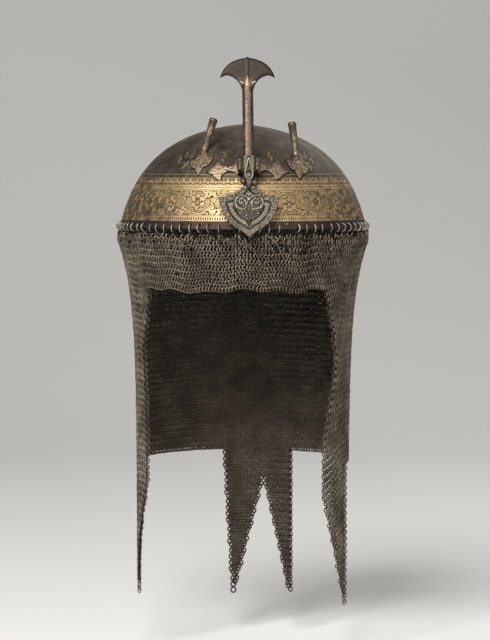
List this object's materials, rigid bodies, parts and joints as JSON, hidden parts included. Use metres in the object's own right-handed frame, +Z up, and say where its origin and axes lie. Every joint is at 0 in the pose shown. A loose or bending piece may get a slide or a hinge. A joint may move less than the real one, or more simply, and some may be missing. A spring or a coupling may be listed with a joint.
{
  "type": "indo-persian mail helmet with sliding nasal",
  "caption": "Low round steel helmet with a gold-damascened band, a sliding nasal bar with a fan finial and leaf plate, plume tubes and a hanging mail curtain with long points.",
  "frame": {"origin": "centre of the bowl's rim plane, where a head wears it", "axes": "+Z up, -Y the helmet's front, +X to the right of someone looking at its front"},
  "size_m": [0.2156, 0.2217, 0.4666],
  "materials": {
    "bowl_steel": "dark mottled patina with a gold-damascened band",
    "mail_steel": "dull, dark iron wire with brown traces of rust",
    "nasal_steel": "dark worn steel with traces of gilding",
    "chiselled_steel": "chiselled relief with dark hollows and bright edges",
    "gilt_steel": "worn gilding over dark steel"
  },
  "bodies": {
    "helmet": {"bowl": "bowl_steel", "hanging_rings_front": "mail_steel", "hanging_rings_right": "mail_steel", "hanging_rings_back": "mail_steel", "hanging_rings_left": "mail_steel", "mail_curtain": "mail_steel", "nasal_bracket": "gilt_steel", "nasal_catch": "nasal_steel", "plume_base_left": "gilt_steel", "plume_base_right": "gilt_steel", "plume_tube_left": "gilt_steel", "plume_tube_right": "gilt_steel"},
    "nasal": {"nasal_bar": "nasal_steel", "nasal_leaf": "chiselled_steel"}
  },
  "joints": [
    {"name": "nasal_slide", "type": "slide", "parent": "helmet", "child": "nasal", "axis": [0, 0.2419, 0.9703], "range_m": [-0.054, 0]}
  ]
}
